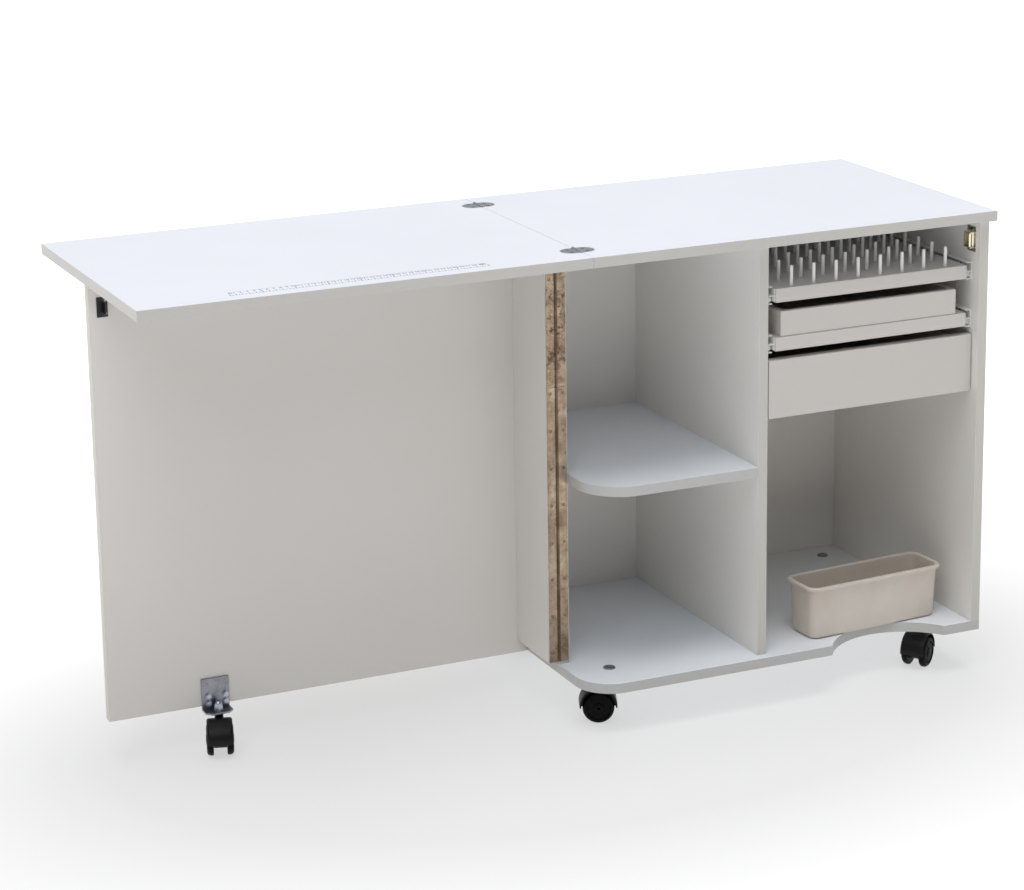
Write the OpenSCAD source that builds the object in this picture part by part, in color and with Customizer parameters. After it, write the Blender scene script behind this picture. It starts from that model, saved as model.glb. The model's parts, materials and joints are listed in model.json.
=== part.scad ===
// Rolling sewing cabinet with a fold-over top leaf and an L-shaped door.
// The door swings half a turn on a piano hinge: open, its top edge carries
// the unfolded leaf; closed, it covers the bays. All sizes in millimetres.
// Axes: +X to the right, +Y to the back, +Z up. The origin is on the floor
// under the middle of the unfolded top. The leaf's fold line is at x = 0.

/* [Top] */
// Height of the main top's upper face above the floor
table_h = 766; // [750:1:790]
// Length of the main top, and of the leaf that folds onto it
top_l = 700; // [690:1:720]
// Depth of both tops, front to back
top_d = 480; // [476:2:500]
// Gap between the two tops at the fold line
seam_gap = 0.6; // [0.6:0.1:1.6]

/* [Boards] */
// Thickness of every board
board_t = 16; // [16:1:18]
// Height of the bottom board's underside above the floor
base_z = 69; // [66:1:72]
// Height of the machine shelf's underside above the floor
shelf_z = 378; // [340:1:420]
// Radius of the machine shelf's front corner
shelf_r = 72; // [30:1:90]
// Radius of the bottom board's front left corner
base_r = 60; // [30:1:62]
// Radius of the arc notch that clears the door's castor
notch_r = 124; // [115:1:130]

/* [Trays] */
// Thickness of the peg tray board and of the box tray board
tray_t = 22; // [18:1:24]
// Pegs in one row, left to right
peg_cols = 8; // [4:1:8]
// Rows of pegs, front to back
peg_rows = 9; // [4:1:9]
// Diameter of one peg
peg_d = 5.5; // [4:0.5:7]
// Height of the pegs above their board
peg_h = 32; // [20:1:36]

/* [Castors] */
// Diameter of the castor wheels
wheel_d = 50; // [48:1:50]
// Trail of the wheel axle behind the stem
trail = 18; // [14:1:20]

/* [Bin] */
// Length of the storage bin at its rim
bin_l = 256; // [220:1:262]
// Width of the storage bin at its rim
bin_w = 84; // [70:1:90]
// Height of the storage bin
bin_h = 88; // [60:1:100]

/* [Hidden] */
$fn = 64;

t = board_t;
top_z = table_h - t;              // underside of both tops
in_z = base_z + t;                // floor of the bays
side_x = 1.8;                     // outer face of the left side
right_x = 697;                    // outer face of the right side
back_y = 474;                     // outer face of the back panel
part_x = 296;                     // left face of the partition
hinge_y = 136;                    // door hinge axis: x = 0, y = hinge_y
door_y = 255.5;                   // front face of the open door panel
door_gap = 2;                     // door's top edge below the leaf
rail_w = 13;                      // room for one runner beside a tray
tray_x0 = part_x + t + rail_w;
tray_x1 = right_x - t - rail_w;
tray_y = 34;                      // front of the trays and the drawer
mid_x = (tray_x0 + tray_x1) / 2;
fold_z = table_h + 0.5;           // leaf hinge axis: x = 0, z = fold_z
leaf_hinge_ys = [57, 423];
peg_tray_z = 653;
box_tray_z = 576;
drawer_z = 469;
drawer_h = 93;

white = "#ebeae6";
edge = "#d9d6cf";
zinc = "#b9bec6";
brass = "#8f8468";
black = "#1d1d20";

// Castors: stem position and the direction in which the wheel trails
fl_pos = [63.7, 88.5];  fl_dir = 157;
fr_pos = [634, 90];     fr_dir = 217;
bl_pos = [63.7, 415];   bl_dir = 40;
br_pos = [634, 415];    br_dir = 200;
door_pos = [-527, 240]; door_dir = 253;
stem_r = 4;
axle_r = 3;
wr = wheel_d / 2;

// Screw places: [x, y, z] of the head's face
hinge_screw_zs = [for (i = [0:10]) 106 + 60 * i];
leaf_screw_ys = [for (y = leaf_hinge_ys, s = [-1, 1]) y + 9 * s];

// Everything is drawn with y = 0 at the tops' front edge and then moved
// back by half the depth, so that the origin is under the middle.
module place() translate([0, -top_d / 2, 0]) children();

module box(x0, x1, y0, y1, z0, z1) translate([x0, y0, z0]) cube([x1 - x0, y1 - y0, z1 - z0]);
module along_x(x0, x1, y, z, r) translate([x0, y, z]) rotate([0, 90, 0]) cylinder(h = x1 - x0, r = r);
module along_y(x, y0, y1, z, r) translate([x, y0, z]) rotate([-90, 0, 0]) cylinder(h = y1 - y0, r = r);
module along_z(x, y, z0, z1, r) translate([x, y, z0]) cylinder(h = z1 - z0, r = r);

// Countersunk wood screw, head's face at the origin, pointing along +Z
module wood_screw(len = 14, r = 2.9) {
    cylinder(h = 1.5, r1 = r, r2 = r - 1.5, $fn = 32);
    cylinder(h = len, r = r - 1.5, $fn = 32);
}

// ---- dowels ---------------------------------------------------------------
dowel_r = 4;
module dowels_up() for (p = [[9.8, 190], [9.8, 380], [right_x - 8, 70], [right_x - 8, 430], [part_x + 8, 90], [part_x + 8, 400]]) {
    along_z(p[0], p[1], top_z - 20, top_z + 10, dowel_r);
    along_z(p[0], p[1], in_z - 10, in_z + 20, dowel_r);
}
module dowels_across() {
    for (z = [210, 640]) {
        along_x(9.8, 39.8, back_y - t / 2, z, dowel_r);
        along_x(right_x - t - 22, right_x - t + 8, back_y - t / 2, z, dowel_r);
    }
    for (y = [200, 410]) {
        along_x(9.8, 39.8, y, shelf_z + t / 2, dowel_r);
        along_x(part_x - 22, part_x + 8, y, shelf_z + t / 2, dowel_r);
    }
}
module carcass_dowels() color("#c8a878") place() { dowels_up(); dowels_across(); }

// ---- tops -----------------------------------------------------------------
// Half of the oval flush plate, on the +X side of the fold line
module oval_half(h) intersection() {
    linear_extrude(h) {
        translate([10, 0]) circle(r = 17);
        translate([0, -17]) square([10, 34]);
    }
    translate([2.4, -20, -1]) cube([40, 40, h + 2]);
}
module oval_pocket(s) for (y = leaf_hinge_ys) {
    translate([0, y, table_h - 2]) linear_extrude(4) {
        translate([10 * s, 0]) circle(r = 17);
        translate([s > 0 ? 0 : -10, -17]) square([10, 34]);
    }
    along_y(0, y - 17.6, y + 17.6, fold_z, 2.3);
}
module main_top() color(white) place() difference() {
    box(seam_gap / 2, top_l, 0, top_d, top_z, table_h);
    oval_pocket(1);
    dowels_up();
}
module leaf_top() color(white) place() difference() {
    box(-top_l, -seam_gap / 2, 0, top_d, top_z, table_h);
    oval_pocket(-1);
    scale_strip(1);
}
// Knuckles of the oval hinges: five lengths, shared three to two
function oval_segs(k) = [for (i = [0:4]) if (i % 2 == k) i];
module oval_plates(s, k) for (y = leaf_hinge_ys) translate([0, y, 0]) difference() {
    union() {
        translate([0, 0, table_h - 2]) mirror([s < 0 ? 1 : 0, 0, 0]) oval_half(2);
        for (i = oval_segs(k)) {
            along_y(0, -16.9 + 6.8 * i, -10.3 + 6.8 * i, fold_z, 1.9);
            translate([s > 0 ? 0 : -3, -16.9 + 6.8 * i, table_h - 1.4]) cube([3, 6.6, 1.4]);
        }
    }
    along_y(0, -20, 20, fold_z, 0.96);
    for (d = [-9, 9]) translate([13 * s, d, table_h]) mirror([0, 0, 1]) wood_screw(12, 2.9);
}
module leaf_hinge_fixed_plates() color(zinc) place() oval_plates(1, 0);
module leaf_hinge_moving_plates() color(zinc) place() oval_plates(-1, 1);
module leaf_hinge_pins() color(zinc) place() for (y = leaf_hinge_ys) along_y(0, y - 17, y + 17, fold_z, 0.9);
module leaf_screws() color(zinc) place() for (y = leaf_screw_ys) translate([-13, y, table_h]) mirror([0, 0, 1]) wood_screw(12, 2.9);
// The scale lies flush in a shallow recess near the leaf's front edge
module scale_strip(up) box(-555, -155, 24, 46, table_h - 0.3, table_h + up);
module measuring_scale() color("#dfe3ea") place() scale_strip(0);

// ---- cabinet boards -------------------------------------------------------
module left_side() color(white) place() difference() {
    box(side_x, side_x + t, hinge_y + 1, back_y, in_z, top_z);
    dowels_up();
    dowels_across();
}
module right_side() color(white) place() difference() {
    box(right_x - t, right_x, 18, back_y, in_z, top_z);
    dowels_up();
    dowels_across();
}
module partition() color(white) place() difference() {
    box(part_x, part_x + t, 34, back_y - t, in_z, top_z);
    dowels_up();
    dowels_across();
}
module back_panel() color(white) place() difference() {
    box(side_x + t, right_x - t, back_y - t, back_y, in_z, top_z);
    dowels_across();
}
module bottom_board() color(white) place() difference() {
    translate([0, 0, base_z]) linear_extrude(t) difference() {
        union() {
            translate([base_r, 18]) square([right_x - base_r, back_y - 18]);
            translate([0, 18 + base_r]) square([base_r, back_y - 18 - base_r]);
            translate([base_r, 18 + base_r]) circle(r = base_r);
        }
        translate([-door_pos[0], -50]) circle(r = notch_r);
    }
    dowels_up();
    for (p = [fl_pos, fr_pos, bl_pos, br_pos]) along_z(p[0], p[1], base_z - 1, in_z + 1, stem_r);
    along_z(fr_pos[0], fr_pos[1], in_z - 1.5, in_z + 1, 9.5);
}
module machine_shelf() color(white) place() difference() {
    translate([0, 0, shelf_z]) linear_extrude(t) {
        translate([side_x + t + 1, 33 + shelf_r]) square([part_x - side_x - t - 1, back_y - t - 33 - shelf_r]);
        translate([side_x + t + 1 + shelf_r, 33]) square([part_x - side_x - t - 1 - shelf_r, shelf_r + 1]);
        translate([side_x + t + 1 + shelf_r, 33 + shelf_r]) circle(r = shelf_r);
        translate([side_x + t, hinge_y + 3]) square([2, back_y - t - hinge_y - 3]);
    }
    dowels_across();
}

// ---- piano hinge ----------------------------------------------------------
// Two lengths end to end; each is split into an even number of knuckles
hinge_runs = [[90, 535.5, 30], [536.5, 748, 14]];
kr = 1.7;                         // knuckle radius
hr = 0.8;                         // pin radius
module knuckles(s, k) for (run = hinge_runs) {
    p = (run[1] - run[0]) / run[2];
    for (i = [0:run[2] - 1]) if (i % 2 == k) {
        along_z(0, hinge_y, run[0] + p * i + 0.15, run[0] + p * (i + 1) - 0.15, kr, $fn = 32);
        box(s > 0 ? 0 : -2.2, s > 0 ? 2.2 : 0, hinge_y + 0.2, hinge_y + 1, run[0] + p * i + 0.15, run[0] + p * (i + 1) - 0.15);
    }
}
module hinge_leaf(s, k) difference() {
    union() {
        for (run = hinge_runs) box(s > 0 ? 2 : 1.6 - side_x - t, s > 0 ? side_x + t - 1.6 : -2, hinge_y + 0.2, hinge_y + 1, run[0], run[1]);
        knuckles(s, k);
    }
    along_z(0, hinge_y, 80, 760, hr + 0.06, $fn = 32);
    for (z = hinge_screw_zs) translate([10.5 * s, hinge_y + 0.2, z]) rotate([-90, 0, 0]) wood_screw();
}
module door_hinge_fixed_leaf() color(brass) place() hinge_leaf(1, 0);
module door_hinge_moving_leaf() color(brass) place() hinge_leaf(-1, 1);
module door_hinge_pins() color(brass) place() for (run = hinge_runs) along_z(0, hinge_y, run[0], run[1], hr, $fn = 32);

// ---- catch and strike -----------------------------------------------------
catch_x = right_x - t;            // inner face of the right side
module catch_screws() for (z = [699.8, 732.2]) translate([catch_x - 1.4, 41, z]) rotate([0, 90, 0]) wood_screw(12, 2.4);
module catch_body() color(brass) place() difference() {
    union() {
        box(catch_x - 1.4, catch_x, 29, 53, 696, 736);
        for (z = [703, 727]) box(catch_x - 12, catch_x - 1, 29, 47, z, z + 1.4);
        box(catch_x - 12, catch_x - 1, 45.6, 47, 703.5, 728);
    }
    for (x = [9.8, 4.2]) along_z(catch_x - x, 33, 690, 740, 1, $fn = 32);
    catch_screws();
}
module catch_rollers() color(brass) place() for (x = [9.8, 4.2]) {
    along_z(catch_x - x, 33, 704.8, 726.6, 2, $fn = 32);
    along_z(catch_x - x, 33, 702.6, 729, 0.94, $fn = 32);
}
strike_x = -(catch_x - 7);        // the tongue's middle plane, door open
module strike_screws() for (z = [703, 723]) translate([strike_x + 4.4, door_y - 1.4, z]) rotate([-90, 0, 0]) wood_screw(12, 2.2);
module strike_plate() color("#2b2b2e") place() difference() {
    union() {
        box(-right_x + t - 2, strike_x + 7.5, door_y - 1.4, door_y, 698, 728);
        box(strike_x - 0.6, strike_x + 0.6, door_y - 18, door_y - 1, 705, 721);
        along_z(strike_x, door_y - 17.6, 705, 721, 0.7, $fn = 32);
    }
    strike_screws();
}

// ---- door -----------------------------------------------------------------
module corner_dowels() for (z = [150, 420, 690]) along_y(-side_x - t / 2, door_y - 20, door_y + 10, z, dowel_r);
module door_corner_dowels() color("#c8a878") place() corner_dowels();
module door_panel() color(white) place() difference() {
    box(-right_x + 2, -side_x, door_y, door_y + t, base_z, top_z - door_gap);
    corner_dowels();
}
module return_panel() color(white) place() difference() {
    box(-side_x - t, -side_x, hinge_y + 1, door_y, in_z + 4.5, top_z - door_gap);
    corner_dowels();
}
module leaf_support_pads() color("#8a8a8a") place() for (x = [-660, -350, -60]) along_z(x, door_y + t / 2, top_z - door_gap, top_z - door_gap + 1.5, 5, $fn = 32);
flange_z = 61.8;                  // underside of the bracket's flange
module bracket_bolt_places() for (x = [-538.5, -511], z = [85, 73.4]) translate([x, door_y - 3, z]) rotate([-90, 0, 0]) children();
module castor_bracket() color(zinc) place() difference() {
    union() {
        box(-549, -505, door_y - 3, door_y, flange_z, 113);
        translate([0, 0, flange_z]) linear_extrude(3) polygon([[-549, door_y - 3], [-549, 236], [-541, 228], [-513, 228], [-505, 236], [-505, door_y - 3]]);
    }
    bracket_bolt_places() translate([0, 0, -1]) cylinder(h = 6, r = 2.4, $fn = 32);
    along_z(door_pos[0], door_pos[1], flange_z - 1, flange_z + 4, stem_r);
}
// Four bolts through the plate, and the cap nut that holds the castor's stem
module bracket_bolts() color("#c9d2dc") place() {
    bracket_bolt_places() {
        translate([0, 0, -1]) cylinder(h = 1, r = 4.9, $fn = 32);
        translate([0, 0, -4.2]) rotate([0, 0, 30]) cylinder(h = 3.2, r = 4.3, $fn = 6);
        cylinder(h = 15, r = 2.4, $fn = 32);
    }
    translate([door_pos[0], door_pos[1], flange_z + 3]) difference() {
        union() {
            cylinder(h = 1.4, r = 7.4, $fn = 48);
            translate([0, 0, 1.4]) rotate([0, 0, 12]) cylinder(h = 7, r = 7.2, $fn = 6);
            translate([0, 0, 8.4]) cylinder(h = 3, r1 = 5.9, r2 = 5.6, $fn = 48);
            translate([0, 0, 11.4]) cylinder(h = 3.6, r1 = 5.6, r2 = 2.6, $fn = 48);
        }
        translate([0, 0, -1]) cylinder(h = 11.1, r = stem_r, $fn = 64);
    }
}

// ---- castor stems ---------------------------------------------------------
boss_z = 58.4;                    // top of the castor's stem boss
module stem(p, z0, z1) {
    along_z(p[0], p[1], 40, z1, stem_r);
    along_z(p[0], p[1], boss_z + 0.4, z0, 5.9);
}
module castor_stems() color("#2a2a2c") place() {
    for (p = [fl_pos, bl_pos, br_pos]) stem(p, base_z, in_z);
    stem(fr_pos, base_z, in_z - 1.5);
}
// The cap that lies under the bin is let in flush, the others are domed
module castor_caps() color("#8d9096") place() {
    for (p = [fl_pos, bl_pos, br_pos]) translate([p[0], p[1], in_z]) rotate_extrude($fn = 48)
        polygon([[0, 0], [9.5, 0], [9.5, 1], [8.4, 2], [5, 2.8], [0, 3]]);
    along_z(fr_pos[0], fr_pos[1], in_z - 1.5, in_z, 9.5);
}
module door_castor_stem() color("#2a2a2c") place() stem(door_pos, flange_z, flange_z + 13);

// ---- castors --------------------------------------------------------------
// One castor, drawn with its stem at x = y = 0 and its wheels trailing to +X
module castor_at(p, a) place() translate([p[0], p[1], 0]) rotate([0, 0, a]) children();
module axle_line(y0, y1, r) along_y(trail, y0, y1, wr, r);
module hood_line(y0, y1, r) along_y(trail, y0, y1, wr + 2.4, r);
module above_axle() difference() {
    union() children();
    translate([trail - 60, -40, wr - 60]) cube([120, 80, 60]);
}
module housing_shape() difference() {
    union() {
        axle_line(-9.8, 9.8, 14);
        along_z(0, 0, wr + 4, boss_z, 6.8);
        // hood over both wheels
        above_axle() difference() {
            hood_line(-19.5, 19.5, wr + 4.8);
            hood_line(-30, 30, wr + 2.2);
        }
        // web that carries the hood
        above_axle() hood_line(-9.8, 9.8, wr + 3);
    }
    along_z(0, 0, 38, 70, stem_r + 0.06);
    axle_line(-30, 30, axle_r + 0.06);
}
module axle_shape() axle_line(-19.6, 19.6, axle_r);
module wheels_shape() for (s = [0, 1]) translate([trail, 0, wr]) mirror([0, s, 0]) rotate([-90, 0, 0]) rotate_extrude($fn = 96)
    polygon([[axle_r, 10.4], [wr - 1, 10.4], [wr, 11.4], [wr, 14.6], [wr - 1, 17.6], [wr - 3, 19.8], [wr - 5, 20.7], [wr - 6.2, 20.7], [wr - 7, 18.8], [9, 18.8], [8, 20.7], [5.5, 21.5], [0, 21.5], [0, 19.6], [axle_r, 19.6]]);

module front_left_castor_housing() color(black) castor_at(fl_pos, fl_dir) housing_shape();
module front_left_castor_axle() color(zinc) castor_at(fl_pos, fl_dir) axle_shape();
module front_left_castor_wheels() color(black) castor_at(fl_pos, fl_dir) wheels_shape();
module front_right_castor_housing() color(black) castor_at(fr_pos, fr_dir) housing_shape();
module front_right_castor_axle() color(zinc) castor_at(fr_pos, fr_dir) axle_shape();
module front_right_castor_wheels() color(black) castor_at(fr_pos, fr_dir) wheels_shape();
module back_left_castor_housing() color(black) castor_at(bl_pos, bl_dir) housing_shape();
module back_left_castor_axle() color(zinc) castor_at(bl_pos, bl_dir) axle_shape();
module back_left_castor_wheels() color(black) castor_at(bl_pos, bl_dir) wheels_shape();
module back_right_castor_housing() color(black) castor_at(br_pos, br_dir) housing_shape();
module back_right_castor_axle() color(zinc) castor_at(br_pos, br_dir) axle_shape();
module back_right_castor_wheels() color(black) castor_at(br_pos, br_dir) wheels_shape();
module door_castor_housing() color(black) castor_at(door_pos, door_dir) housing_shape();
module door_castor_axle() color(zinc) castor_at(door_pos, door_dir) axle_shape();
module door_castor_wheels() color(black) castor_at(door_pos, door_dir) wheels_shape();

// ---- runners --------------------------------------------------------------
// Right-hand pair, z = height of the rolling flange. Mirrored for the left.
module both_sides() {
    children();
    translate([2 * mid_x, 0, 0]) mirror([1, 0, 0]) children();
}
module rail_screws(z, y0) for (y = [y0 + 30, y0 + 330]) translate([catch_x - 1.2, y, z + 6]) rotate([0, 90, 0]) wood_screw(12, 2.4);
module fixed_rail(z, y0) {
    difference() {
        union() {
            box(catch_x - 1.2, catch_x, y0, 440, z - 14, z + 14);
            box(catch_x - 10, catch_x - 1, y0, 440, z - 14, z - 12.8);
            box(catch_x - 10, catch_x - 1, y0, 440, z + 12.8, z + 14);
        }
        rail_screws(z, y0);
    }
    along_x(catch_x - 9.8, catch_x - 1.2, y0 + 10, z - 6.9, 5.8);
}
module moving_rail(z, y0) {
    box(tray_x1, tray_x1 + 1.2, y0, 434, z - 10, z + 10.4);
    box(tray_x1 + 1, catch_x - 2.2, y0, 434, z - 0.8, z + 0.4);
    along_x(tray_x1 + 1.2, catch_x - 2.2, 426, z + 6.4, 5.8);
}
rail_zs = [[peg_tray_z + 11, 40], [box_tray_z + 11, 40], [drawer_z + 46, 52]];
module cabinet_rails() color("#e9e9e6") place() both_sides() for (r = rail_zs) fixed_rail(r[0], r[1]);
module peg_tray_rails() color("#e9e9e6") place() both_sides() moving_rail(rail_zs[0][0], 37);
module box_tray_rails() color("#e9e9e6") place() both_sides() moving_rail(rail_zs[1][0], 37);
module drawer_rails() color("#e9e9e6") place() both_sides() moving_rail(rail_zs[2][0], 51);

module cabinet_screws() color(zinc) place() {
    for (z = hinge_screw_zs) translate([10.5, hinge_y + 0.2, z]) rotate([-90, 0, 0]) wood_screw();
    for (y = leaf_screw_ys) translate([13, y, table_h]) mirror([0, 0, 1]) wood_screw(12, 2.9);
    catch_screws();
    both_sides() for (r = rail_zs) rail_screws(r[0], r[1]);
}
module door_screws() color(zinc) place() {
    for (z = hinge_screw_zs) translate([-10.5, hinge_y + 0.2, z]) rotate([-90, 0, 0]) wood_screw();
    strike_screws();
}

// ---- trays ----------------------------------------------------------------
peg_pitch_x = 276.5 / (peg_cols - 1);
peg_pitch_y = 320 / (peg_rows - 1);
module peg_tray_board() color(white) place() box(tray_x0, tray_x1, tray_y, 434, peg_tray_z, peg_tray_z + tray_t);
module pegs() color("#f2f2f0") place() for (i = [0:peg_cols - 1], j = [0:peg_rows - 1])
    translate([mid_x - 138.25 + peg_pitch_x * i, 46 + peg_pitch_y * j, peg_tray_z + tray_t - 8]) {
        cylinder(h = peg_h + 7.2, r = peg_d / 2, $fn = 24);
        translate([0, 0, peg_h + 7.2]) cylinder(h = 0.8, r1 = peg_d / 2, r2 = peg_d / 2 - 0.8, $fn = 24);
    }
module box_tray_board() color(white) place() box(tray_x0, tray_x1, tray_y, 434, box_tray_z, box_tray_z + tray_t);
module tray_box() color(white) place() difference() {
    box(335, 650, 36, 424, box_tray_z + tray_t, 638);
    box(345, 640, 46, 414, box_tray_z + tray_t + 4, 650);
}
module drawer_front() color(white) place() box(part_x + t + 2, right_x - t - 2, tray_y, tray_y + t, drawer_z, drawer_z + drawer_h);
module drawer_bottom_shape() box(tray_x0 + 7, tray_x1 - 7, tray_y + t, 422, drawer_z + 12, drawer_z + 16);
module drawer_sides() color(white) place() difference() {
    both_sides() box(tray_x1 - 12, tray_x1, tray_y + t, 434, drawer_z + 4, drawer_z + 84);
    drawer_bottom_shape();
}
module drawer_back() color(white) place() box(tray_x0 + 12, tray_x1 - 12, 422, 434, drawer_z + 4, drawer_z + 84);
module drawer_bottom() color("#d8cfbf") place() drawer_bottom_shape();

// ---- storage bin ----------------------------------------------------------
bin_c = [524.5, 94];
bin_a = 3.8;
module rrect(l, w, r) for (i = [0, 1]) {
    if (i == 0) translate([-l / 2, -w / 2 + r]) square([l, w - 2 * r]);
    else {
        translate([-l / 2 + r, -w / 2]) square([l - 2 * r, w]);
        for (x = [-1, 1], y = [-1, 1]) translate([x * (l / 2 - r), y * (w / 2 - r)]) circle(r = r, $fn = 32);
    }
}
module bin_slab(l, w, r, z) translate([0, 0, z]) linear_extrude(0.2) rrect(l, w, r);
module storage_bin() color("#cfc6bb") place() translate([bin_c[0], bin_c[1], in_z + 0.3]) rotate([0, 0, bin_a]) difference() {
    union() {
        hull() {
            bin_slab(bin_l - 24, bin_w - 24, 11, 0);
            bin_slab(bin_l - 16, bin_w - 16, 14, 3.4);
            bin_slab(bin_l - 9, bin_w - 9, 16, bin_h - 0.2);
        }
        translate([0, 0, bin_h - 6]) linear_extrude(6) rrect(bin_l, bin_w, 18);
    }
    hull() {
        bin_slab(bin_l - 26, bin_w - 26, 11, 2.4);
        bin_slab(bin_l - 21, bin_w - 21, 12, 5);
        bin_slab(bin_l - 14, bin_w - 14, 14, bin_h + 0.2);
    }
}

main_top();
left_side();
right_side();
partition();
back_panel();
bottom_board();
machine_shelf();
leaf_hinge_fixed_plates();
leaf_hinge_pins();
door_hinge_fixed_leaf();
door_hinge_pins();
cabinet_screws();
catch_body();
catch_rollers();
cabinet_rails();
castor_stems();
castor_caps();
carcass_dowels();
leaf_top();
leaf_hinge_moving_plates();
leaf_screws();
measuring_scale();
door_panel();
return_panel();
door_hinge_moving_leaf();
door_screws();
strike_plate();
castor_bracket();
bracket_bolts();
door_castor_stem();
leaf_support_pads();
door_corner_dowels();
peg_tray_board();
pegs();
peg_tray_rails();
box_tray_board();
tray_box();
box_tray_rails();
drawer_front();
drawer_sides();
drawer_back();
drawer_bottom();
drawer_rails();
storage_bin();
front_left_castor_housing();
front_left_castor_axle();
front_left_castor_wheels();
front_right_castor_housing();
front_right_castor_axle();
front_right_castor_wheels();
back_left_castor_housing();
back_left_castor_axle();
back_left_castor_wheels();
back_right_castor_housing();
back_right_castor_axle();
back_right_castor_wheels();
door_castor_housing();
door_castor_axle();
door_castor_wheels();
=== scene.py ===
import bpy, bmesh, math, json, random
from mathutils import Vector, Matrix

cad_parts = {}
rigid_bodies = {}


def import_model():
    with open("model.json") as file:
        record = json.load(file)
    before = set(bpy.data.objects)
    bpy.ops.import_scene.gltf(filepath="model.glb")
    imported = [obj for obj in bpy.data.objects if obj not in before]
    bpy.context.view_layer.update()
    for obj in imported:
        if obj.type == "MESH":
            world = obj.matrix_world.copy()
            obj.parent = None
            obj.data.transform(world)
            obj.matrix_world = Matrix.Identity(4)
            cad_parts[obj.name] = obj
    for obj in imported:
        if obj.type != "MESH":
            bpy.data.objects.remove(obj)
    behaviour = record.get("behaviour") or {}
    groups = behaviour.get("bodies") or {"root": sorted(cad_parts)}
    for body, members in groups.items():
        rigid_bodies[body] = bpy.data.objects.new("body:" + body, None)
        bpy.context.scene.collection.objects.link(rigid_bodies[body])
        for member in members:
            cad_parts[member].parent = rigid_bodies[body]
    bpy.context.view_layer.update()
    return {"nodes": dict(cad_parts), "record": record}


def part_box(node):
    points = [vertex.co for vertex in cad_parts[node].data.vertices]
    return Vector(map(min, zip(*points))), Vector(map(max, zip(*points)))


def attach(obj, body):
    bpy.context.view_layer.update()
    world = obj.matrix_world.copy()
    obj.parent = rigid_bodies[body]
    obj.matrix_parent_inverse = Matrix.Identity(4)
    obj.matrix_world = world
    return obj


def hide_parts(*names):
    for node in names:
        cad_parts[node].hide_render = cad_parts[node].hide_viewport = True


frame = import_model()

NODES = frame["nodes"]
BODY = {n: b for b, ns in frame["record"]["behaviour"]["bodies"].items() for n in ns}
Y0 = -0.240            # the tops' front edge; positions below are measured from it


def P(x, y, z):
    """Millimetres from the fold line, the tops' front edge and the floor, in metres of the frame."""
    return Vector((x / 1000, y / 1000 + Y0, z / 1000))


# ------------------------------------------------------------------ materials
def srgb(r, g, b):
    f = lambda c: c / 12.92 if c <= 0.04045 else ((c + 0.055) / 1.055) ** 2.4
    return (f(r / 255), f(g / 255), f(b / 255), 1.0)


class Mat:
    """A small helper that wires a Principled material."""

    def __init__(self, name, **sockets):
        self.m = bpy.data.materials.new(name)
        self.m.use_nodes = True
        self.t = self.m.node_tree
        self.t.nodes.clear()
        self.out = self.t.nodes.new("ShaderNodeOutputMaterial")
        self.p = self.t.nodes.new("ShaderNodeBsdfPrincipled")
        self.t.links.new(self.p.outputs[0], self.out.inputs[0])
        tc = self.t.nodes.new("ShaderNodeTexCoord")
        self.co = tc.outputs["Object"]
        self.no = tc.outputs["Normal"]
        for k, v in sockets.items():
            self.p.inputs[k.replace("_", " ")].default_value = v

    def node(self, kind, **kw):
        n = self.t.nodes.new(kind)
        for k, v in kw.items():
            setattr(n, k, v)
        return n

    def link(self, a, b):
        self.t.links.new(a, b)

    def put(self, sock, v):
        if hasattr(v, "is_output") or isinstance(v, bpy.types.NodeSocket):
            self.link(v, sock)
        else:
            sock.default_value = v

    def math(self, op, a, b=0.0, c=0.0, clamp=False):
        n = self.node("ShaderNodeMath", operation=op, use_clamp=clamp)
        for s, v in zip(n.inputs, (a, b, c)):
            self.put(s, v)
        return n.outputs[0]

    def scaled(self, sx=1.0, sy=1.0, sz=1.0, loc=(0, 0, 0)):
        n = self.node("ShaderNodeMapping")
        n.inputs["Scale"].default_value = (sx, sy, sz)
        n.inputs["Location"].default_value = loc
        self.link(self.co, n.inputs[0])
        return n.outputs[0]

    def noise(self, scale, detail=2.0, rough=0.5, vec=None, dist=0.0):
        n = self.node("ShaderNodeTexNoise")
        n.inputs["Scale"].default_value = scale
        n.inputs["Detail"].default_value = detail
        n.inputs["Roughness"].default_value = rough
        n.inputs["Distortion"].default_value = dist
        self.link(vec or self.co, n.inputs["Vector"])
        return n.outputs["Fac"]

    def ramp(self, fac, *stops, mode="LINEAR"):
        n = self.node("ShaderNodeValToRGB")
        n.color_ramp.interpolation = mode
        els = n.color_ramp.elements
        while len(els) < len(stops):
            els.new(0.5)
        for e, (pos, col) in zip(els, stops):
            e.position = pos
            e.color = col if len(col) == 4 else (*col, 1.0)
        self.link(fac, n.inputs[0])
        return n.outputs[0]

    def rng(self, v, a, b, c, d):
        n = self.node("ShaderNodeMapRange")
        n.clamp = True
        for s, x in zip(n.inputs, (v, a, b, c, d)):
            self.put(s, x)
        return n.outputs[0]

    def mix(self, fac, a, b, mode="MIX"):
        n = self.node("ShaderNodeMix", data_type="RGBA", blend_type=mode)
        self.put(n.inputs[0], fac)
        self.put(n.inputs[6], a)
        self.put(n.inputs[7], b)
        return n.outputs[2]

    def bump(self, height, strength, dist):
        n = self.node("ShaderNodeBump")
        n.inputs["Strength"].default_value = strength
        n.inputs["Distance"].default_value = dist
        self.link(height, n.inputs["Height"])
        self.link(n.outputs[0], self.p.inputs["Normal"])

    def color(self, v):
        self.put(self.p.inputs["Base Color"], v)

    def rough(self, v):
        self.put(self.p.inputs["Roughness"], v)


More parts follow.
